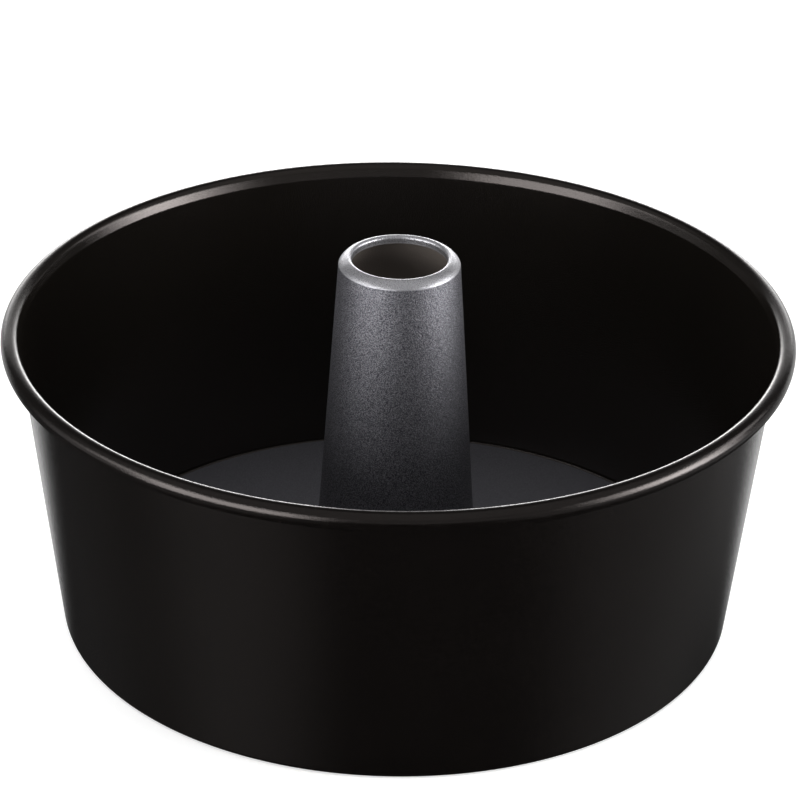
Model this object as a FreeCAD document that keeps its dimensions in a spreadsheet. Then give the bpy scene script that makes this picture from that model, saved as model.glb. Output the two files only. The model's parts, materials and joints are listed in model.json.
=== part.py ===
import FreeCAD, Part
import math
import os
import Sketcher
from FreeCAD import Vector

# An angel food cake pan of spun sheet steel, standing on z = 0 with its axis on Z.
# The ring carries a rolled rim and an inner ledge, a loose plate lies on the ledge,
# and a tapered tube is clinched through the plate. Tube and plate lift out together.

# Driving dimensions in millimetres
SIZES = {
    # The ring: its wall leans out from the flat underside to the flared and rolled rim
    "ring_gauge": 0.8,
    "ring_height": 96.8,
    "mouth_diameter": 228.6,
    "standing_diameter": 204.4,
    "ledge_width": 9.2,
    "bottom_bend_radius": 1.8,
    "rim_bead_diameter": 6.1,
    "rim_crown_radius": 2.4,
    "rim_flare_depth": 3.75,
    "rim_flare_bend_radius": 1.2,
    "rim_curl_gap": 0.6,
    # The loose plate
    "plate_gauge": 0.8,
    "plate_edge_clearance": 0.3,
    "plate_edge_round": 0.25,
    # The tube, measured from the underside of the plate
    "tube_gauge": 0.7,
    "tube_height": 117.6,
    "tube_foot_diameter": 52.0,
    "lip_diameter": 36.9,
    "lip_width": 3.95,
    "lip_shoulder_drop": 2.3,
    "lip_shoulder_bend_radius": 0.9,
    "lip_roll_radius": 1.0,
    "lip_flange_length": 1.5,
    "foot_bead_radius": 1.75,
    "foot_bead_reach": 1.4,
    "foot_fillet_radius": 1.2,
    "neck_step": 2.0,
    "neck_clearance": 0.15,
    "clinch_flange_width": 4.0,
}

# Formulas on those sizes that more than one feature follows
STANDING_RADIUS = "Sizes.standing_diameter / 2"
LEDGE_RADIUS = "Sizes.standing_diameter / 2 - Sizes.ledge_width"
RIM_BEAD_RADIUS = "Sizes.rim_bead_diameter / 2"
RIM_CENTRE_RADIUS = "(Sizes.mouth_diameter + Sizes.rim_bead_diameter) / 2"
MOUTH_RADIUS = "Sizes.mouth_diameter / 2"
MOUTH_HEIGHT = "Sizes.ring_height - Sizes.rim_flare_depth"
CROWN_CENTRE_HEIGHT = "Sizes.ring_height - Sizes.rim_crown_radius"
PLATE_RADIUS = "Sizes.standing_diameter / 2 - Sizes.plate_edge_clearance"
FOOT_RADIUS = "Sizes.tube_foot_diameter / 2"
NECK_RADIUS = "Sizes.tube_foot_diameter / 2 - Sizes.neck_step"
FLANGE_RADIUS = "Sizes.tube_foot_diameter / 2 - Sizes.neck_step + Sizes.clinch_flange_width"
FOOT_BEAD_CENTRE = "Sizes.tube_foot_diameter / 2 + Sizes.foot_bead_reach - Sizes.foot_bead_radius"
SHOULDER_RADIUS = "Sizes.lip_diameter / 2"
SHOULDER_HEIGHT = "Sizes.tube_height - Sizes.lip_shoulder_drop"
LIP_CENTRE_RADIUS = "Sizes.lip_diameter / 2 - Sizes.lip_width + Sizes.lip_roll_radius"
LIP_CENTRE_HEIGHT = "Sizes.tube_height - Sizes.lip_roll_radius"

OUTWARD = 0.0
UPWARD = math.pi / 2
INWARD = math.pi
DOWNWARD = 3 * math.pi / 2
QUARTER_TURN = math.pi / 2
HALF_TURN = math.pi
FULL_TURN = 2 * math.pi
LEFT, RIGHT = 1, -1

# How a sketch numbers the points of an element
START, END, CENTRE = range(1, 4)

MATCH_TOLERANCE_SHARE = 1e-6

doc = FreeCAD.newDocument("angel_food_pan")
sheet = doc.addObject("Spreadsheet::Sheet", "Sizes")
for row, (alias, millimetres) in enumerate(SIZES.items(), start=1):
    sheet.set(f"A{row}", alias.replace("_", " "))
    sheet.set(f"B{row}", str(millimetres))
    sheet.setAlias(f"B{row}", alias)
doc.recompute()


def size(formula):
    """The millimetres that a formula on the sheet's cells gives"""
    return float(sheet.evalExpression(formula))


def polar(length, angle):
    """A step of this length, in the section's radius and height"""
    return Vector(length * math.cos(angle), length * math.sin(angle), 0)


def bearing(step):
    """The angle that a step in the section points at"""
    return math.atan2(step.y, step.x)


class SheetSection:
    """Section of a spun sheet: a sketch of two skins that stay one gauge apart.

    The first skin is traced by runs, bends and folds, with the metal on its left. Each of them
    draws its twin on the second skin, tied to it so that only the gauge has to be measured.
    """

    def __init__(self, body, name, gauge_formula, start, heading):
        planes = body.Origin.OriginFeatures
        section_plane = next(plane for plane in planes if plane.Role == "XZ_Plane")
        self.sketch = body.newObject("Sketcher::SketchObject", name)
        self.sketch.AttachmentSupport = [(section_plane, "")]
        self.sketch.MapMode = "FlatFace"
        self.gauge_formula = gauge_formula
        self.gauge = size(gauge_formula)
        self.point = start
        self.heading = heading
        self.first_pair = None
        self.last_ends = None
        self.next_joint = "Tangent"

    def tie(self, kind, *elements):
        """Constrain elements of the sketch"""
        return self.sketch.addConstraint(Sketcher.Constraint(kind, *elements))

    def measure(self, name, formula, kind, *elements):
        """Constrain elements to a size that follows the sheet's cells"""
        constraint = self.tie(kind, *elements, size(formula))
        self.sketch.renameConstraint(constraint, name)
        self.sketch.setExpression(f"Constraints.{name}", formula)

    def extend(self, skin, twin, tail, head):
        """Join a new pair of elements to the open ends of the two skins"""
        if self.first_pair is None:
            self.first_pair = (skin, twin)
        else:
            self.tie(self.next_joint, *self.last_ends[0], skin, tail)
            self.tie("Tangent", *self.last_ends[1], twin, tail)
        self.last_ends = [(skin, head), (twin, head)]
        self.next_joint = "Tangent"

    def arc(self, centre, radius, angle, turn):
        """Add an arc from this angle through this turn, and give its tail and head"""
        circle = Part.Circle(centre, Vector(0, 0, 1), radius)
        low, high = sorted((angle, angle + turn))
        element = self.sketch.addGeometry(Part.ArcOfCircle(circle, low, high))
        tail, head = (START, END) if turn > 0 else (END, START)
        return element, tail, head

    def run(self, length):
        """Go straight on"""
        across = polar(self.gauge, self.heading + QUARTER_TURN)
        goal = self.point + polar(length, self.heading)
        skin = self.sketch.addGeometry(Part.LineSegment(self.point, goal))
        twin = self.sketch.addGeometry(Part.LineSegment(self.point + across, goal + across))
        self.extend(skin, twin, START, END)
        self.tie("Parallel", skin, twin)
        self.point = goal
        return skin, twin

    def bend(self, radius, turn):
        """Go round an arc of this radius on the first skin, to the left for a positive turn"""
        side = math.copysign(1, turn)
        centre = self.point + polar(radius, self.heading + side * QUARTER_TURN)
        angle = self.heading - side * QUARTER_TURN
        skin, tail, head = self.arc(centre, radius, angle, turn)
        twin, tail, head = self.arc(centre, radius - side * self.gauge, angle, turn)
        self.extend(skin, twin, tail, head)
        self.tie("Coincident", skin, CENTRE, twin, CENTRE)
        self.heading += turn
        self.point = centre + polar(radius, angle + turn)
        return skin, twin

    def fold(self, turn):
        """Turn sharply to the right on the first skin, while its twin goes round the corner"""
        twin, tail, head = self.arc(self.point, self.gauge, self.heading + QUARTER_TURN, turn)
        self.tie("Coincident", twin, CENTRE, *self.last_ends[0])
        self.tie("Tangent", *self.last_ends[1], twin, tail)
        self.last_ends[1] = (twin, head)
        self.next_joint = "Coincident"
        self.heading += turn

    def cut_edge(self, skin_end, twin_end):
        """Close the section squarely across the sheet"""
        points = [self.sketch.getPoint(*end) for end in (skin_end, twin_end)]
        edge = self.sketch.addGeometry(Part.LineSegment(*points))
        self.tie("Coincident", edge, START, *skin_end)
        self.tie("Coincident", edge, END, *twin_end)
        skin = skin_end[0]
        if isinstance(self.sketch.Geometry[skin], Part.ArcOfCircle):
            self.tie("PointOnObject", skin, CENTRE, edge)
        else:
            self.tie("Perpendicular", skin, edge)
        return edge

    def close(self):
        """Cut the sheet at both ends and measure its gauge at the first"""
        skin, twin = self.first_pair
        first_edge = self.cut_edge((skin, START), (twin, START))
        self.cut_edge(*self.last_ends)
        self.measure("gauge", self.gauge_formula, "Distance", first_edge)


def new_body(label):
    """A sub-part of the pan, still empty"""
    body = doc.addObject("PartDesign::Body", label)
    body.Label = label
    return body


def spin(body, section, name):
    """Turn a section about the pan's axis"""
    section.close()
    turned = body.newObject("PartDesign::Revolution", name)
    turned.Profile = section.sketch
    turned.ReferenceAxis = (section.sketch, ["V_Axis"])
    turned.Angle = 360
    doc.recompute()
    if not section.sketch.FullyConstrained:
        raise RuntimeError(f"{section.sketch.Label} is not fully constrained")
    return turned


def line_past(point, centre, radius, side):
    """Heading and length of the line from a point that touches a circle on this side of it"""
    step = centre - point
    lean = math.asin(radius / step.Length)
    return bearing(step) - side * lean, step.Length * math.cos(lean)


def make_pan_ring():
    """Wall with the ledge turned in at its foot, flared at its mouth and rolled into the rim"""
    gauge = size("Sizes.ring_gauge")
    ledge_radius = size(LEDGE_RADIUS)
    bend_radius = size("Sizes.bottom_bend_radius")
    bend_centre = Vector(size(STANDING_RADIUS), bend_radius, 0)
    mouth = Vector(size(MOUTH_RADIUS), size(MOUTH_HEIGHT), 0)
    crown_radius = size("Sizes.rim_crown_radius")
    crown_centre = Vector(size(RIM_CENTRE_RADIUS), size(CROWN_CENTRE_HEIGHT), 0)
    bead_radius = size(RIM_BEAD_RADIUS)
    bead_centre = Vector(crown_centre.x, size("Sizes.ring_height") - bead_radius, 0)

    # The wall's inner skin and the flare's meet at the mouth
    down_wall, wall_length = line_past(mouth, bend_centre, bend_radius - gauge, RIGHT)
    wall_heading = down_wall + HALF_TURN
    flare_heading, flare_length = line_past(mouth, crown_centre, crown_radius, RIGHT)
    flare_turn = flare_heading - wall_heading
    flare_bend_radius = size("Sizes.rim_flare_bend_radius")
    set_back = (flare_bend_radius + gauge) * math.tan(-flare_turn / 2)

    # The curl stops short of the wall's outer skin
    away = polar(1, wall_heading - QUARTER_TURN)
    wall_distance = (bead_centre - mouth).dot(away) - gauge
    curl_opening = math.acos((wall_distance - size("Sizes.rim_curl_gap")) / bead_radius)
    curl_turn = wall_heading + curl_opening - FULL_TURN

    body = new_body("pan_ring")
    section = SheetSection(body, "ring_section", "Sizes.ring_gauge", Vector(ledge_radius, 0, 0), OUTWARD)
    ledge, _ = section.run(bend_centre.x - ledge_radius)
    bottom_bend, _ = section.bend(bend_radius, wall_heading - OUTWARD)
    wall, wall_inside = section.run(wall_length - set_back)
    flare_bend, _ = section.bend(flare_bend_radius, flare_turn)
    _, flare_inside = section.run(flare_length - set_back)
    _, crown = section.bend(crown_radius - gauge, OUTWARD - flare_heading)
    _, curl = section.bend(bead_radius - gauge, curl_turn)
    mouth_mark = section.sketch.addGeometry(Part.Point(mouth), True)

    section.tie("Horizontal", ledge)
    section.tie("DistanceY", ledge, START, 0.0)
    section.measure("ledge_opening", LEDGE_RADIUS, "DistanceX", ledge, START)
    section.measure("standing_edge", STANDING_RADIUS, "DistanceX", bottom_bend, CENTRE)
    section.measure("bottom_bend", "Sizes.bottom_bend_radius", "Radius", bottom_bend)
    section.tie("PointOnObject", mouth_mark, START, wall_inside)
    section.tie("PointOnObject", mouth_mark, START, flare_inside)
    section.measure("mouth_across", MOUTH_RADIUS, "DistanceX", mouth_mark, START)
    section.measure("mouth_height", MOUTH_HEIGHT, "DistanceY", mouth_mark, START)
    section.measure("flare_bend", "Sizes.rim_flare_bend_radius", "Radius", flare_bend)
    section.measure("crown", "Sizes.rim_crown_radius", "Radius", crown)
    section.measure("crown_across", RIM_CENTRE_RADIUS, "DistanceX", crown, CENTRE)
    section.measure("crown_height", CROWN_CENTRE_HEIGHT, "DistanceY", crown, CENTRE)
    section.measure("rim_bead", RIM_BEAD_RADIUS, "Radius", curl)
    section.tie("Vertical", crown, CENTRE, curl, CENTRE)
    section.measure("curl_gap", "Sizes.rim_curl_gap", "Distance", curl, START, wall)
    spin(body, section, "ring_spinning")
    return body


def make_base_plate():
    """Flat blank with tumbled edges, holed for the tube's neck, lying on the ring's ledge"""
    hole_formula = f"{NECK_RADIUS} + Sizes.neck_clearance"
    hole_radius = size(hole_formula)
    plate_radius = size(PLATE_RADIUS)

    body = new_body("base_plate")
    section = SheetSection(body, "plate_section", "Sizes.plate_gauge", Vector(hole_radius, 0, 0), OUTWARD)
    underside, _ = section.run(plate_radius - hole_radius)
    section.tie("Horizontal", underside)
    section.tie("DistanceY", underside, START, 0.0)
    section.measure("neck_hole", hole_formula, "DistanceX", underside, START)
    section.measure("plate_edge", PLATE_RADIUS, "DistanceX", underside, END)
    blank = spin(body, section, "plate_blank")

    rounded = []
    for number, edge in enumerate(blank.Shape.Edges, start=1):
        is_circle = isinstance(edge.Curve, Part.Circle)
        if is_circle and math.isclose(edge.Curve.Radius, plate_radius, rel_tol=MATCH_TOLERANCE_SHARE):
            rounded.append(f"Edge{number}")
    tumbling = body.newObject("PartDesign::Fillet", "plate_tumbled_edge")
    tumbling.Base = (blank, rounded)
    tumbling.setExpression("Radius", "Sizes.plate_edge_round")
    body.Tip = tumbling
    body.setExpression("Placement.Base.z", "Sizes.ring_gauge")
    return body


def make_centre_tube():
    """Tapered tube: flange under the plate, neck through it, bead on it, cone, shoulder, turned-in lip"""
    flange_radius = size(FLANGE_RADIUS)
    neck_radius = size(NECK_RADIUS)
    plate_gauge = size("Sizes.plate_gauge")
    bead_radius = size("Sizes.foot_bead_radius")
    bead_centre = Vector(size(FOOT_BEAD_CENTRE), plate_gauge + bead_radius, 0)
    fillet_radius = size("Sizes.foot_fillet_radius")
    foot = Vector(size(FOOT_RADIUS), plate_gauge, 0)
    lip_radius = size("Sizes.lip_roll_radius")
    lip_centre = Vector(size(LIP_CENTRE_RADIUS), size(LIP_CENTRE_HEIGHT), 0)

    shoulder = Vector(size(SHOULDER_RADIUS), size(SHOULDER_HEIGHT), 0)

    # The cone's skin runs from the foot's circle on the plate to the shoulder
    cone_heading = bearing(shoulder - foot)
    along = polar(1, cone_heading)
    inside = polar(1, cone_heading + QUARTER_TURN)
    to_bead = bead_centre - foot
    bead_depth = to_bead.dot(inside)
    fillet_rise = math.sqrt((bead_radius + fillet_radius) ** 2 - (bead_depth + fillet_radius) ** 2)
    fillet_centre = foot + along * (to_bead.dot(along) + fillet_rise) - inside * fillet_radius
    bead_turn = bearing(fillet_centre - bead_centre) + QUARTER_TURN
    shoulder_heading, shoulder_length = line_past(shoulder, lip_centre, lip_radius, LEFT)
    shoulder_turn = shoulder_heading - cone_heading
    shoulder_bend_radius = size("Sizes.lip_shoulder_bend_radius")
    set_back = shoulder_bend_radius * math.tan(shoulder_turn / 2)
    cone_length = (shoulder - fillet_centre).dot(along) - set_back

    body = new_body("centre_tube")
    section = SheetSection(body, "tube_section", "Sizes.tube_gauge", Vector(flange_radius, 0, 0), INWARD)
    flange, _ = section.run(flange_radius - neck_radius)
    section.fold(UPWARD - INWARD)
    neck, _ = section.run(plate_gauge)
    section.fold(OUTWARD - UPWARD)
    bead_seat, _ = section.run(bead_centre.x - neck_radius)
    foot_bead, _ = section.bend(bead_radius, bead_turn)
    foot_fillet, _ = section.bend(fillet_radius, cone_heading - bead_turn)
    cone, _ = section.run(cone_length)
    shoulder_bend, _ = section.bend(shoulder_bend_radius, shoulder_turn)
    shoulder_slope, _ = section.run(shoulder_length - set_back)
    lip, _ = section.bend(lip_radius, DOWNWARD - shoulder_heading)
    lip_flange, _ = section.run(size("Sizes.lip_flange_length"))
    foot_mark = section.sketch.addGeometry(Part.Point(foot), True)
    shoulder_mark = section.sketch.addGeometry(Part.Point(shoulder), True)

    section.tie("Horizontal", flange)
    section.tie("Vertical", neck)
    section.tie("Horizontal", bead_seat)
    section.tie("Vertical", lip_flange)
    section.tie("DistanceY", flange, START, 0.0)
    section.measure("flange_edge", FLANGE_RADIUS, "DistanceX", flange, START)
    section.measure("neck_across", NECK_RADIUS, "DistanceX", neck, START)
    section.measure("clinched_gauge", "Sizes.plate_gauge", "DistanceY", neck, START, neck, END)
    section.measure("foot_bead", "Sizes.foot_bead_radius", "Radius", foot_bead)
    section.measure("foot_bead_across", FOOT_BEAD_CENTRE, "DistanceX", foot_bead, CENTRE)
    section.measure("foot_fillet", "Sizes.foot_fillet_radius", "Radius", foot_fillet)
    section.tie("PointOnObject", foot_mark, START, cone)
    section.measure("foot_across", FOOT_RADIUS, "DistanceX", foot_mark, START)
    section.measure("foot_height", "Sizes.plate_gauge", "DistanceY", foot_mark, START)
    section.tie("PointOnObject", shoulder_mark, START, cone)
    section.tie("PointOnObject", shoulder_mark, START, shoulder_slope)
    section.measure("shoulder_across", SHOULDER_RADIUS, "DistanceX", shoulder_mark, START)
    section.measure("shoulder_height", SHOULDER_HEIGHT, "DistanceY", shoulder_mark, START)
    section.measure("shoulder_bend", "Sizes.lip_shoulder_bend_radius", "Radius", shoulder_bend)
    section.measure("lip_roll", "Sizes.lip_roll_radius", "Radius", lip)
    section.measure("lip_across", LIP_CENTRE_RADIUS, "DistanceX", lip, CENTRE)
    section.measure("lip_height", LIP_CENTRE_HEIGHT, "DistanceY", lip, CENTRE)
    section.measure("lip_flange", "Sizes.lip_flange_length", "Distance", lip_flange)
    spin(body, section, "tube_spinning")
    body.setExpression("Placement.Base.z", "Sizes.ring_gauge")
    return body


pieces = [make_pan_ring(), make_base_plate(), make_centre_tube()]
doc.recompute()

for item in doc.Objects:
    if {"Invalid", "Error"} & set(item.State):
        raise RuntimeError(f"{item.Label} failed: {item.State}")
for piece in pieces:
    if piece.Shape.isNull() or not piece.Shape.isValid() or len(piece.Shape.Solids) != 1:
        raise RuntimeError(f"{piece.Label} is not one valid solid")

os.makedirs("parts", exist_ok=True)
for piece in pieces:
    piece.Shape.exportStep(os.path.join("parts", f"{piece.Label}.step"))
    print(f"{piece.Label}: {piece.Shape.Volume:.1f} cubic mm, {piece.Shape.BoundBox}")
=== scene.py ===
import json
import math
import bpy
from mathutils import Matrix, Vector


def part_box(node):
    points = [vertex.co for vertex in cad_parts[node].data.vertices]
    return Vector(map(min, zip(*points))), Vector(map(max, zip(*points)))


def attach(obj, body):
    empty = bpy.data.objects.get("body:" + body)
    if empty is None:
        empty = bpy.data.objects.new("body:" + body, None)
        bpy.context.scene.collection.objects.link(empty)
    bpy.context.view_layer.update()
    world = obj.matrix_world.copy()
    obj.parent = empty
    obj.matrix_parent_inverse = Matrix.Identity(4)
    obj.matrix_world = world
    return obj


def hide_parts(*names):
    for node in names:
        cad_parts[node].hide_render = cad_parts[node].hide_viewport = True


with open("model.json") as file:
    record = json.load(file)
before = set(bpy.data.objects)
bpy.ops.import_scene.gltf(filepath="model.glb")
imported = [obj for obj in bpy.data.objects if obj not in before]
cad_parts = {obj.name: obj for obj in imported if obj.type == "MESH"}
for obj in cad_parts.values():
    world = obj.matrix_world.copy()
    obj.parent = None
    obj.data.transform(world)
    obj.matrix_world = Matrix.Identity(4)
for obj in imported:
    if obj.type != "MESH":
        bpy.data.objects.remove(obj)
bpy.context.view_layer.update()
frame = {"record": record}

# An angel food cake pan: a black ring of spun sheet with a rolled rim, and a grey loose bottom
# whose tapered tube stands in the middle. All lengths are in metres.

MM = 0.001
QUARTER_TURN = math.pi / 2
HALF_TURN = math.pi
FULL_TURN = 2 * math.pi

# Sheet gauges and bends that the frame doesn't tell
RING_GAUGE = 0.8 * MM
LEDGE_RADIUS = 93.0 * MM
STANDING_RADIUS = 102.2 * MM
BOTTOM_BEND_RADIUS = 1.8 * MM
RIM_BEAD_RADIUS = 3.05 * MM
RIM_CROWN_RADIUS = 2.4 * MM
RIM_FLARE_DEPTH = 3.75 * MM
RIM_FLARE_BEND_RADIUS = 1.2 * MM
RIM_CURL_GAP = 0.6 * MM
TUBE_GAUGE = 0.7 * MM
TUBE_FOOT_RADIUS = 26.0 * MM
NECK_RADIUS = 24.0 * MM
NECK_CLEARANCE = 0.15 * MM
NECK_CORNER_RADIUS = 0.1 * MM
FOOT_BEAD_RADIUS = 1.75 * MM
FOOT_BEAD_REACH = 1.4 * MM
FOOT_FILLET_RADIUS = 1.2 * MM
LIP_SHOULDER_RADIUS = 18.45 * MM
LIP_SHOULDER_DROP = 2.3 * MM
LIP_SHOULDER_BEND_RADIUS = 0.9 * MM
LIP_SLOPE_RADIUS = 5.0 * MM
LIP_ROLL_RADIUS = 1.0 * MM
CUT_EDGE_BREAK = 0.12 * MM
PLATE_EDGE_ROUND = 0.25 * MM

# What the frame tells
ring_low, ring_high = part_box("pan_ring")
plate_low, plate_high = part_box("base_plate")
tube_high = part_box("centre_tube")[1]
lip_bore = next(mount for mount in frame["record"]["mounts"] if mount["name"] == "lip_bore")
LIP_BORE_RADIUS = lip_bore["dims"]["r_mm"] * MM
LIP_FLANGE_LENGTH = lip_bore["dims"]["length_mm"] * MM

# How finely a sheet is drawn
SPIN_STEPS = 256
BEND_STEP = math.radians(7)
FEWEST_BEND_STEPS = 4
HOLDING_STEP = 0.3 * MM
MERGE_DISTANCE = 0.002 * MM
SMOOTH_ANGLE = math.radians(35)
CUT_EDGE_ANGLE = math.radians(60)
CUT_EDGE_SEGMENTS = 3

# Black non-stick coat: colours, and lumps of grain in a metre
BLACK_DEEP = (0.0013, 0.0010, 0.0009, 1)
BLACK_LIFTED = (0.0024, 0.0019, 0.0017, 1)
# Painted light: the inner side's black is paler than the outside to stand in for light falling inside
# the ring, not a different coat
BLACK_INSIDE_PAINTED_LIGHT = (0.0056, 0.0048, 0.0040, 1)
BLACK_SPECK = (0.0120, 0.0102, 0.0092, 1)
BLACK_GLOSS = (1.0, 0.90, 0.87, 1)
BLACK_PEEL_GRAIN = 2200.0
BLACK_SPECK_GRAIN = 2400.0
BLACK_DRIFT_GRAIN = 45.0

# Grey non-stick coat
GREY_BETWEEN_FLAKES = (0.062, 0.062, 0.077, 1)
GREY_FLAKE = (0.41, 0.405, 0.435, 1)
GREY_DRIFT = (0.19, 0.189, 0.205, 1)
# Painted sheen: the lip is the tube's own coat, painted paler to stand in for the light it catches
LIP_PAINTED_SHEEN_GREY = (0.55, 0.545, 0.57, 1)
BORE_BROWN = (0.155, 0.133, 0.117, 1)
GREY_PEEL_GRAIN = 2900.0
GREY_FLAKE_GRAIN = 3900.0
GREY_DRIFT_GRAIN = 40.0
LIP_COAT_START = 0.4 * MM
LIP_COAT_END = 0.3 * MM
PEEL_DEPTH = 0.3 * MM

# Floor, drawn a hair under the pan so that the two never share a plane
FLOOR_SIZE = 12.0
FLOOR_DROP = 0.05 * MM
FLOOR_PALE = (0.90, 0.90, 0.90, 1)
FLOOR_PALER = (0.94, 0.94, 0.94, 1)
FLOOR_CLOUD_GRAIN = 3.0
FLOOR_GLOW = 0.4
WHITE = (1, 1, 1, 1)

# Softboxes: degrees round from the right, degrees above the rim, then distance, width and height,
# and brightness
SOFTBOXES = {
    "right_softbox": (-12, 7, 1.5, 1.27, 1.0, 3.9),
    "right_core": (-10, 6, 1.45, 0.62, 0.70, 7.3),
    "right_upper": (14, 22, 1.5, 0.60, 0.45, 2.4),
    "left_softbox": (-136, 7, 1.5, 1.25, 1.0, 5.2),
    "left_upper": (-165, 22, 1.5, 0.75, 0.45, 2.4),
    "left_side": (-178, 5, 1.5, 1.10, 0.85, 0.45),
    "top_softbox": (90, 84, 2.1, 2.4, 2.4, 3.3),
}

# How bright the studio is where the coats mirror it
FLOOR_SHADE = 0.02
FLOOR_RIGHT = 0.12
FLOOR_FRONT_LEFT = 0.15
FLOOR_LEFT = 0.04
FLOOR_FAR_RIGHT = 0.20
FLOOR_FAR_BACK = 0.8
ROOM_SHADE = 0.07
ROOM_IN_FRONT = 0.25
ROOM_OVERHEAD = 0.26
BACKDROP_LOW = 3.8
BACKDROP_HALFWAY = 2.0
BACKDROP_STRIP = 6.0

# The photograph's viewpoint
VIEW_TARGET = Vector((0.0007536, 0.0, 0.0697263))
VIEW_DISTANCE = 1.13634
VIEW_ELEVATION = math.radians(27.817)
VIEW_ROLL = math.radians(0.8762)
VIEW_SENSOR_MM = 36.0
VIEW_LENS_MM = 166.657
VIEW_REACH = 50.0


class SpunSheet:
    """Sheet metal spun about the pan's axis.

    A circle is drawn out ring by ring along the middle of the sheet, through straight runs and
    round bends, and the sheet then gets its gauge. The first skin is the one that is measured:
    the metal lies on its left.
    """

    def __init__(self, name, gauge, radius, height, heading):
        self.gauge = gauge
        self.heading = heading
        self.at = Vector((radius, height)) + self.step(gauge / 2, heading + QUARTER_TURN)
        place = (0, 0, self.at.y)
        bpy.ops.object.select_all(action="DESELECT")
        bpy.ops.mesh.primitive_circle_add(vertices=SPIN_STEPS, radius=self.at.x, location=place)
        bpy.ops.object.transform_apply(location=True, rotation=True, scale=True)
        self.piece = bpy.context.active_object
        self.piece.name = name
        self.piece.data.name = name
        bpy.ops.object.mode_set(mode="EDIT")
        bpy.ops.mesh.select_all(action="SELECT")

    @staticmethod
    def step(length, angle):
        """A step in radius and height"""
        return Vector((length * math.cos(angle), length * math.sin(angle)))

    def draw_to(self, goal):
        """Draw the open edge out to a ring of this radius and height"""
        share = goal.x / self.at.x
        rise = (0, 0, goal.y - self.at.y)
        bpy.ops.mesh.extrude_edges_move(TRANSFORM_OT_translate={"value": rise})
        bpy.ops.transform.resize(value=(share, share, 1), center_override=(0, 0, goal.y))
        self.at = goal

    def run(self, length):
        """Go straight on, with a ring close to each end to hold the bends beside it"""
        start = self.at.copy()
        hold = min(HOLDING_STEP, length / 3)
        for reach in (hold, length - hold, length):
            self.draw_to(start + self.step(reach, self.heading))

    def bend(self, skin_radius, turn):
        """Go round a bend of this radius on the first skin, to the left for a positive turn"""
        side = math.copysign(1, turn)
        radius = skin_radius - side * self.gauge / 2
        centre = self.at + self.step(radius, self.heading + side * QUARTER_TURN)
        first = self.heading - side * QUARTER_TURN
        count = max(FEWEST_BEND_STEPS, math.ceil(abs(turn) / BEND_STEP))
        for number in range(1, count + 1):
            self.draw_to(centre + self.step(radius, first + turn * number / count))
        self.heading += turn

    def finish(self, edge_round):
        """Give the sheet its gauge, break its cut edges and smooth it"""
        bpy.ops.mesh.select_all(action="SELECT")
        bpy.ops.mesh.remove_doubles(threshold=MERGE_DISTANCE)
        bpy.ops.mesh.normals_make_consistent(inside=False)
        bpy.ops.object.mode_set(mode="OBJECT")
        bpy.ops.object.modifier_add(type="SOLIDIFY")
        solid = self.piece.modifiers[-1]
        solid.thickness = self.gauge
        solid.offset = 0
        solid.use_even_offset = True
        solid.use_quality_normals = True
        bpy.ops.object.modifier_apply(modifier=solid.name)
        bpy.ops.object.mode_set(mode="EDIT")
        bpy.ops.mesh.select_all(action="SELECT")
        bpy.ops.mesh.remove_doubles(threshold=MERGE_DISTANCE)
        bpy.ops.mesh.dissolve_degenerate(threshold=MERGE_DISTANCE)
        bpy.ops.object.mode_set(mode="OBJECT")
        bpy.ops.object.modifier_add(type="BEVEL")
        broken = self.piece.modifiers[-1]
        broken.width = edge_round
        broken.segments = CUT_EDGE_SEGMENTS
        broken.limit_method = "ANGLE"
        broken.angle_limit = CUT_EDGE_ANGLE
        bpy.ops.object.modifier_apply(modifier=broken.name)
        bpy.ops.object.shade_smooth_by_angle(angle=SMOOTH_ANGLE)
        self.piece.select_set(False)
        return self.piece


def bearing(step):
    """The angle that a step in radius and height points at"""
    return math.atan2(step.y, step.x)


def line_past(point, centre, radius):
    """Heading and length of the line from a point to where it touches a circle on its right"""
    step = centre - point
    lean = math.asin(radius / step.length)
    return bearing(step) + lean, step.length * math.cos(lean)


def meeting(first, first_reach, second, second_reach):
    """The point at these distances from two points, on the right of the way from first to second"""
    step = second - first
    ahead = step.normalized()
    right = Vector((ahead.y, -ahead.x))
    along = (first_reach ** 2 - second_reach ** 2 + step.length_squared) / (2 * step.length)
    return first + ahead * along + right * math.sqrt(first_reach ** 2 - along ** 2)


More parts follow.
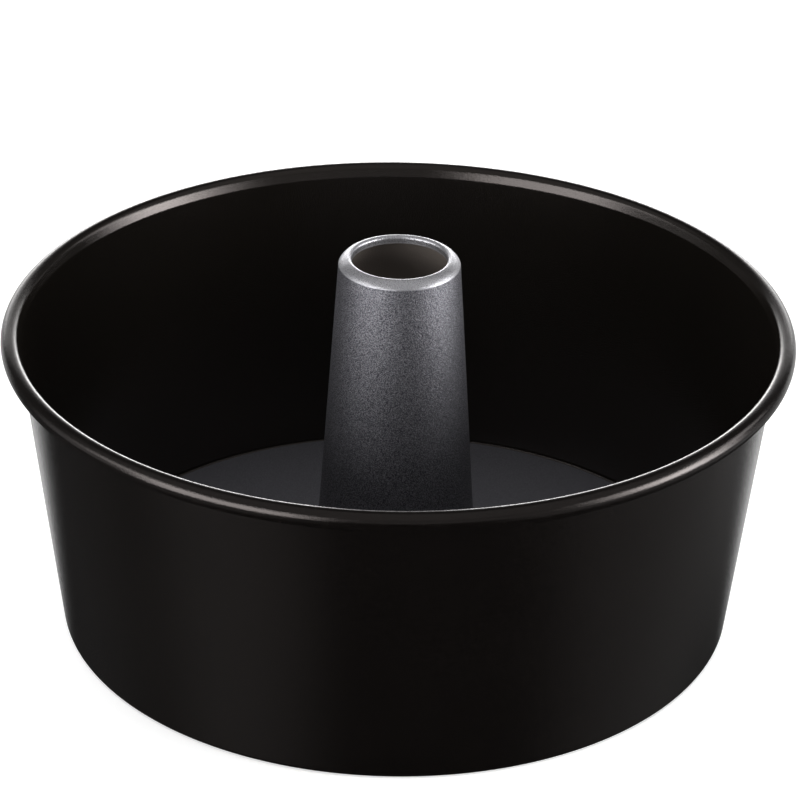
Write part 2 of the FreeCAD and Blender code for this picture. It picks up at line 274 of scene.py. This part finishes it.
def spin_ring():
    """Ledge, bottom bend, leaning wall, and the mouth flared and rolled into a hollow bead"""
    bend_centre = Vector((STANDING_RADIUS, BOTTOM_BEND_RADIUS))
    mouth = Vector((ring_high.x - 2 * RIM_BEAD_RADIUS, ring_high.z - RIM_FLARE_DEPTH))
    crown_centre = Vector((ring_high.x - RIM_BEAD_RADIUS, ring_high.z - RIM_CROWN_RADIUS))
    bead_centre = Vector((ring_high.x - RIM_BEAD_RADIUS, ring_high.z - RIM_BEAD_RADIUS))
    down_wall, wall_length = line_past(mouth, bend_centre, BOTTOM_BEND_RADIUS - RING_GAUGE)
    wall_heading = down_wall + HALF_TURN
    flare_heading, flare_length = line_past(mouth, crown_centre, RIM_CROWN_RADIUS)
    flare_turn = flare_heading - wall_heading
    set_back = (RIM_FLARE_BEND_RADIUS + RING_GAUGE) * math.tan(-flare_turn / 2)
    away = SpunSheet.step(1, wall_heading - QUARTER_TURN)
    wall_distance = (bead_centre - mouth).dot(away) - RING_GAUGE
    curl_opening = math.acos((wall_distance - RIM_CURL_GAP) / RIM_BEAD_RADIUS)

    ring = SpunSheet("ring_sheet", RING_GAUGE, LEDGE_RADIUS, ring_low.z, 0)
    ring.run(STANDING_RADIUS - LEDGE_RADIUS)
    ring.bend(BOTTOM_BEND_RADIUS, wall_heading)
    ring.run(wall_length - set_back)
    ring.bend(RIM_FLARE_BEND_RADIUS, flare_turn)
    ring.run(flare_length - set_back)
    ring.bend(RIM_CROWN_RADIUS - RING_GAUGE, -flare_heading)
    ring.bend(RIM_BEAD_RADIUS - RING_GAUGE, wall_heading + curl_opening - FULL_TURN)
    return ring.finish(CUT_EDGE_BREAK)


def cut_plate():
    """Flat blank with tumbled edges and a hole for the tube's neck"""
    hole_radius = NECK_RADIUS + NECK_CLEARANCE
    plate = SpunSheet("bottom_plate", plate_high.z - plate_low.z, hole_radius, plate_low.z, 0)
    plate.run(plate_high.x - hole_radius)
    return plate.finish(PLATE_EDGE_ROUND)


def spin_tube():
    """Flange under the plate, neck through it, bead on it, cone, shoulder and turned-in lip"""
    foot = Vector((TUBE_FOOT_RADIUS, plate_high.z))
    bead_radius = TUBE_FOOT_RADIUS + FOOT_BEAD_REACH - FOOT_BEAD_RADIUS
    bead_centre = Vector((bead_radius, foot.y + FOOT_BEAD_RADIUS))
    shoulder = Vector((LIP_SHOULDER_RADIUS, tube_high.z - LIP_SHOULDER_DROP))
    lip_centre = Vector((LIP_BORE_RADIUS + LIP_ROLL_RADIUS, tube_high.z - LIP_ROLL_RADIUS))
    cone_heading = bearing(shoulder - foot)
    along = SpunSheet.step(1, cone_heading)
    inside = SpunSheet.step(1, cone_heading + QUARTER_TURN)

    # The fillet touches the bead and the cone
    to_bead = bead_centre - foot
    reach = FOOT_BEAD_RADIUS + FOOT_FILLET_RADIUS
    fillet_rise = math.sqrt(reach ** 2 - (to_bead.dot(inside) + FOOT_FILLET_RADIUS) ** 2)
    fillet_centre = foot + along * (to_bead.dot(along) + fillet_rise) - inside * FOOT_FILLET_RADIUS
    bead_turn = bearing(fillet_centre - bead_centre) + QUARTER_TURN

    # The lip's rounded slope goes from the shoulder to the roll, and the bend touches cone and slope
    slope_reach = LIP_SLOPE_RADIUS - LIP_ROLL_RADIUS
    slope_centre = meeting(lip_centre, slope_reach, shoulder, LIP_SLOPE_RADIUS)
    from_slope = shoulder + inside * LIP_SHOULDER_BEND_RADIUS - slope_centre
    climb = from_slope.dot(along)
    bend_reach = LIP_SLOPE_RADIUS - LIP_SHOULDER_BEND_RADIUS
    set_back = climb - math.sqrt(climb ** 2 - from_slope.length_squared + bend_reach ** 2)
    slope_start = bearing(from_slope - along * set_back) + QUARTER_TURN
    slope_end = bearing(lip_centre - slope_centre) + QUARTER_TURN

    tube = SpunSheet("tube_sheet", TUBE_GAUGE, tube_high.x, plate_low.z, HALF_TURN)
    tube.run(tube_high.x - NECK_RADIUS - NECK_CORNER_RADIUS)
    tube.bend(NECK_CORNER_RADIUS, -QUARTER_TURN)
    tube.run(plate_high.z - plate_low.z - 2 * NECK_CORNER_RADIUS)
    tube.bend(NECK_CORNER_RADIUS, -QUARTER_TURN)
    tube.run(bead_centre.x - NECK_RADIUS - NECK_CORNER_RADIUS)
    tube.bend(FOOT_BEAD_RADIUS, bead_turn)
    tube.bend(FOOT_FILLET_RADIUS, cone_heading - bead_turn)
    tube.run((shoulder - fillet_centre).dot(along) - set_back)
    tube.bend(LIP_SHOULDER_BEND_RADIUS, slope_start - cone_heading)
    tube.bend(LIP_SLOPE_RADIUS, slope_end - slope_start)
    tube.bend(LIP_ROLL_RADIUS, HALF_TURN + QUARTER_TURN - slope_end)
    tube.run(LIP_FLANGE_LENGTH)
    return tube.finish(CUT_EDGE_BREAK)


class Wire:
    """The output of a shader node; Python's operators on it add Math nodes"""

    def __init__(self, finish, output):
        self.finish = finish
        self.output = output

    def math(self, operation, first, second):
        return self.finish.node("ShaderNodeMath", {"operation": operation}, {0: first, 1: second})

    def __add__(self, other):
        return self.math("ADD", self, other)

    def __sub__(self, other):
        return self.math("SUBTRACT", self, other)

    def __rsub__(self, other):
        return self.math("SUBTRACT", other, self)

    def __mul__(self, other):
        return self.math("MULTIPLY", self, other)

    __radd__ = __add__
    __rmul__ = __mul__


class Finish:
    """The node tree of a coat or of the studio, and how nodes are added to it"""

    def __init__(self, tree):
        self.tree = tree
        tree.nodes.clear()

    def node(self, kind, settings, sockets, output=0):
        """Add a node: its settings first, then the values or links of its sockets"""
        added = self.tree.nodes.new(kind)
        for name, value in settings.items():
            setattr(added, name, value)
        for name, value in sockets.items():
            if isinstance(value, Wire):
                self.tree.links.new(value.output, added.inputs[name])
            else:
                added.inputs[name].default_value = value
        return Wire(self, added.outputs[output]) if len(added.outputs) else None

    def mix_colour(self, share, low, high):
        """A colour that goes from low to high with a share"""
        return self.node("ShaderNodeMix", {"data_type": "RGBA"}, {0: share, 6: low, 7: high}, 2)

    def vector(self, operation, first, second, output="Vector"):
        """A Vector Math node"""
        sockets = {0: first, 1: second}
        return self.node("ShaderNodeVectorMath", {"operation": operation}, sockets, output)

    def grain(self, place, lumps, detail=2.0, roughness=0.5):
        """Noise from 0 to 1, with so many lumps in a metre"""
        sockets = {"Vector": place, "Scale": lumps, "Detail": detail, "Roughness": roughness}
        return self.node("ShaderNodeTexNoise", {"noise_dimensions": "3D"}, sockets)

    def spread(self, value, low, high):
        """Stretch the part of a value between low and high to 0 to 1"""
        settings = {"interpolation_type": "SMOOTHSTEP", "clamp": True}
        sockets = {"Value": value, "From Min": low, "From Max": high}
        return self.node("ShaderNodeMapRange", settings, sockets)

    def peel(self, height, strength):
        """The bump of an orange peel"""
        sockets = {"Strength": strength, "Distance": PEEL_DEPTH, "Height": height}
        return self.node("ShaderNodeBump", {}, sockets)

    def surface(self, sockets):
        """The Principled shader that ends a coat"""
        shader = self.node("ShaderNodeBsdfPrincipled", {}, sockets)
        self.node("ShaderNodeOutputMaterial", {}, {"Surface": shader})


def new_material(name):
    """A material, its node tree and the place on the piece"""
    material = bpy.data.materials.new(name)
    material.use_nodes = True
    coat = Finish(material.node_tree)
    return material, coat, coat.node("ShaderNodeTexCoord", {}, {}, "Object")


def inner_skin(coat, place):
    """1 where a sheet faces the pan's axis, 0 elsewhere"""
    normal = coat.node("ShaderNodeTexCoord", {}, {}, "Normal")
    level_place = coat.vector("MULTIPLY", place, (1, 1, 0))
    outward = coat.vector("NORMALIZE", level_place, (0, 0, 0))
    facing_out = coat.vector("DOT_PRODUCT", normal, outward, "Value")
    return 1 - coat.spread(facing_out, low=-0.75, high=-0.35)


def black_coat():
    """Warm black non-stick coat: a soft gloss over a very fine orange peel, with its inner side painted
    paler as painted light
    """
    material, coat, place = new_material("black_nonstick_coat")
    peel = coat.grain(place, BLACK_PEEL_GRAIN, detail=3.0, roughness=0.6)
    drift = coat.grain(place, BLACK_DRIFT_GRAIN, detail=3.0)
    speck = coat.spread(coat.grain(place, BLACK_SPECK_GRAIN, detail=1.0), low=0.52, high=0.70)
    tint = coat.mix_colour(drift, BLACK_DEEP, BLACK_LIFTED)
    # Painted light: the sheet's inner side is made paler than its outside
    tint = coat.mix_colour(inner_skin(coat, place) * 0.9, tint, BLACK_INSIDE_PAINTED_LIGHT)
    tint = coat.mix_colour(speck * 0.3, tint, BLACK_SPECK)
    coat.surface({
        "Base Color": tint,
        "Roughness": 0.09 + 0.05 * drift + 0.05 * speck,
        "Specular IOR Level": 0.5,
        "Specular Tint": BLACK_GLOSS,
        "Normal": coat.peel(peel, strength=0.20),
    })
    return material


def grey_coat(name, pale_share, speckle_share):
    """Gunmetal non-stick coat with metallic speckle, smoother on the lip and painted paler there as a
    painted sheen, brown and dull in the bore
    """
    material, coat, place = new_material(name)
    height = coat.node("ShaderNodeSeparateXYZ", {}, {"Vector": place}, "Z")
    shoulder_height = tube_high.z - LIP_SHOULDER_DROP
    lip = coat.spread(height, shoulder_height - LIP_COAT_START, shoulder_height + LIP_COAT_END)
    bore = inner_skin(coat, place) * (1 - lip)
    rough_share = speckle_share * (1 - 0.4 * lip)

    peel = coat.grain(place, GREY_PEEL_GRAIN, detail=2.0, roughness=0.6)
    flake = coat.spread(coat.grain(place, GREY_FLAKE_GRAIN, detail=1.0), low=0.42, high=0.62)
    drift = coat.grain(place, GREY_DRIFT_GRAIN, detail=2.0)
    speckle = pale_share + (flake - pale_share) * rough_share
    tint = coat.mix_colour(speckle, GREY_BETWEEN_FLAKES, GREY_FLAKE)
    tint = coat.mix_colour(drift * 0.25, tint, GREY_DRIFT)
    # Painted sheen: the lip is made paler than the rest of the tube
    tint = coat.mix_colour(lip * 0.7, tint, LIP_PAINTED_SHEEN_GREY)
    tint = coat.mix_colour(bore, tint, BORE_BROWN)
    coat.surface({
        "Base Color": tint,
        "Metallic": 0.85 * (1 - bore),
        "Roughness": 0.36 - 0.12 * lip + 0.12 * (1 - speckle) + 0.1 * bore,
        "Specular IOR Level": 0.4,
        "Normal": coat.peel(peel * rough_share, strength=0.6),
    })
    return material


def pale_floor():
    """Plain pale studio floor"""
    bpy.ops.object.select_all(action="DESELECT")
    bpy.ops.mesh.primitive_plane_add(size=FLOOR_SIZE, location=(0, 0, -FLOOR_DROP))
    bpy.ops.object.transform_apply(location=True, rotation=True, scale=True)
    floor = bpy.context.active_object
    floor.name = "studio_floor"
    material, paint, place = new_material("pale_floor_paint")
    cloud = paint.grain(place, FLOOR_CLOUD_GRAIN, detail=2.0)
    paint.surface({
        "Base Color": paint.mix_colour(cloud, FLOOR_PALE, FLOOR_PALER),
        "Roughness": 0.9,
        "Emission Color": WHITE,
        "Emission Strength": FLOOR_GLOW,
    })
    floor.data.materials.append(material)
    floor.visible_glossy = False


def softbox(name, turn, rise, distance, width, height, brightness):
    """A soft rectangular light that faces the pan's rim"""
    aim = Vector((0, 0, ring_high.z))
    turn = math.radians(turn)
    rise = math.radians(rise)
    level = distance * math.cos(rise)
    place = aim + Vector((level * math.cos(turn), level * math.sin(turn), distance * math.sin(rise)))
    data = bpy.data.lights.new(name, "AREA")
    data.shape = "RECTANGLE"
    data.size = width
    data.size_y = height
    data.energy = brightness * math.pi * width * height
    light = bpy.data.objects.new(name, data)
    bpy.context.scene.collection.objects.link(light)
    facing = (aim - place).to_track_quat("-Z", "Y")
    light.matrix_world = Matrix.Translation(place) @ facing.to_matrix().to_4x4()
    return light


def studio_room():
    """The plain studio that the coats mirror, by direction: to the side, to the back and up"""
    world = bpy.data.worlds.new("studio")
    world.use_nodes = True
    bpy.context.scene.world = world
    room = Finish(world.node_tree)
    direction = {"Vector": room.node("ShaderNodeTexCoord", {}, {}, "Generated")}
    side = room.node("ShaderNodeSeparateXYZ", {}, direction, "X")
    back = room.node("ShaderNodeSeparateXYZ", {}, direction, "Y")
    up = room.node("ShaderNodeSeparateXYZ", {}, direction, "Z")

    # The floor is shaded by the pan close to it, and paler further out
    to_right = room.spread(side, 0.5, 0.78)
    to_left = 1 - room.spread(side, -0.8, -0.3)
    to_front_left = (1 - room.spread(side, -0.50, -0.18)) * (1 - room.spread(back, -0.40, 0.05))
    near = FLOOR_RIGHT * to_right + FLOOR_FRONT_LEFT * to_front_left + FLOOR_LEFT * to_left
    far_right = room.spread(side, 0.35, 0.65) * room.spread(up, -0.59, -0.53)
    far_back = room.spread(back, 0.66, 0.78) * room.spread(up, -0.545, -0.505)
    far = FLOOR_FAR_RIGHT * far_right + FLOOR_FAR_BACK * far_back
    below = FLOOR_SHADE + near * room.spread(up, -0.85, -0.70) + far

    # The backdrop is brightest low down, most of all in a strip straight behind the pan
    low_fade = (BACKDROP_LOW - BACKDROP_HALFWAY) * room.spread(up, 0.05, 0.2)
    high_fade = BACKDROP_HALFWAY * room.spread(up, 0.2, 0.6)
    backdrop = room.spread(back, 0.80, 0.93) * (BACKDROP_LOW - high_fade - low_fade)
    strip = room.spread(back, 0.95, 0.98) * (1 - room.spread(up, 0.1, 0.3))
    in_front = (1 - room.spread(back, -0.5, 0.0)) * (1 - room.spread(up, 0.3, 0.5))
    overhead = room.spread(up, 0.40, 0.55) * (1 - room.spread(back, 0.2, 0.5))
    walls = ROOM_SHADE + ROOM_IN_FRONT * in_front + ROOM_OVERHEAD * overhead
    above = walls + backdrop + BACKDROP_STRIP * strip

    horizon = room.spread(up, -0.02, 0.02)
    glow = below * (1 - horizon) + above * horizon
    light = room.node("ShaderNodeBackground", {}, {"Color": WHITE, "Strength": glow})
    room.node("ShaderNodeOutputWorld", {}, {"Surface": light})


def photo_camera():
    """The photograph's viewpoint: a long lens a metre off, looking down into the pan"""
    data = bpy.data.cameras.new("photo_camera")
    data.sensor_width = VIEW_SENSOR_MM
    data.lens = VIEW_LENS_MM
    data.clip_end = VIEW_REACH
    camera = bpy.data.objects.new("photo_camera", data)
    bpy.context.scene.collection.objects.link(camera)
    off = Vector((0, -math.cos(VIEW_ELEVATION), math.sin(VIEW_ELEVATION)))
    tilt = Matrix.Rotation(QUARTER_TURN - VIEW_ELEVATION, 4, "X")
    roll = Matrix.Rotation(VIEW_ROLL, 4, "Z")
    camera.matrix_world = Matrix.Translation(VIEW_TARGET + VIEW_DISTANCE * off) @ tilt @ roll
    bpy.context.scene.camera = camera


black = black_coat()
# Painted shade: the plate's grey is darker than the tube's (pale share 0.27 against 0.40) to stand in
# for the shade at the pan's bottom
shaded_grey_plate = grey_coat("grey_plate_coat", pale_share=0.27, speckle_share=0.25)
grey_tube = grey_coat("grey_speckled_coat", pale_share=0.40, speckle_share=1.0)

ring_sheet = spin_ring()
ring_sheet.data.materials.append(black)
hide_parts("pan_ring")
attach(ring_sheet, "pan")

bottom_plate = cut_plate()
bottom_plate.data.materials.append(shaded_grey_plate)
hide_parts("base_plate")
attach(bottom_plate, "insert")

tube_sheet = spin_tube()
tube_sheet.data.materials.append(grey_tube)
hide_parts("centre_tube")
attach(tube_sheet, "insert")

pale_floor()
photo_camera()
softboxes = {name: softbox(name, *setting) for name, setting in SOFTBOXES.items()}
softboxes["top_softbox"].visible_glossy = False
studio_room()
bpy.context.scene.view_settings.view_transform = "Standard"
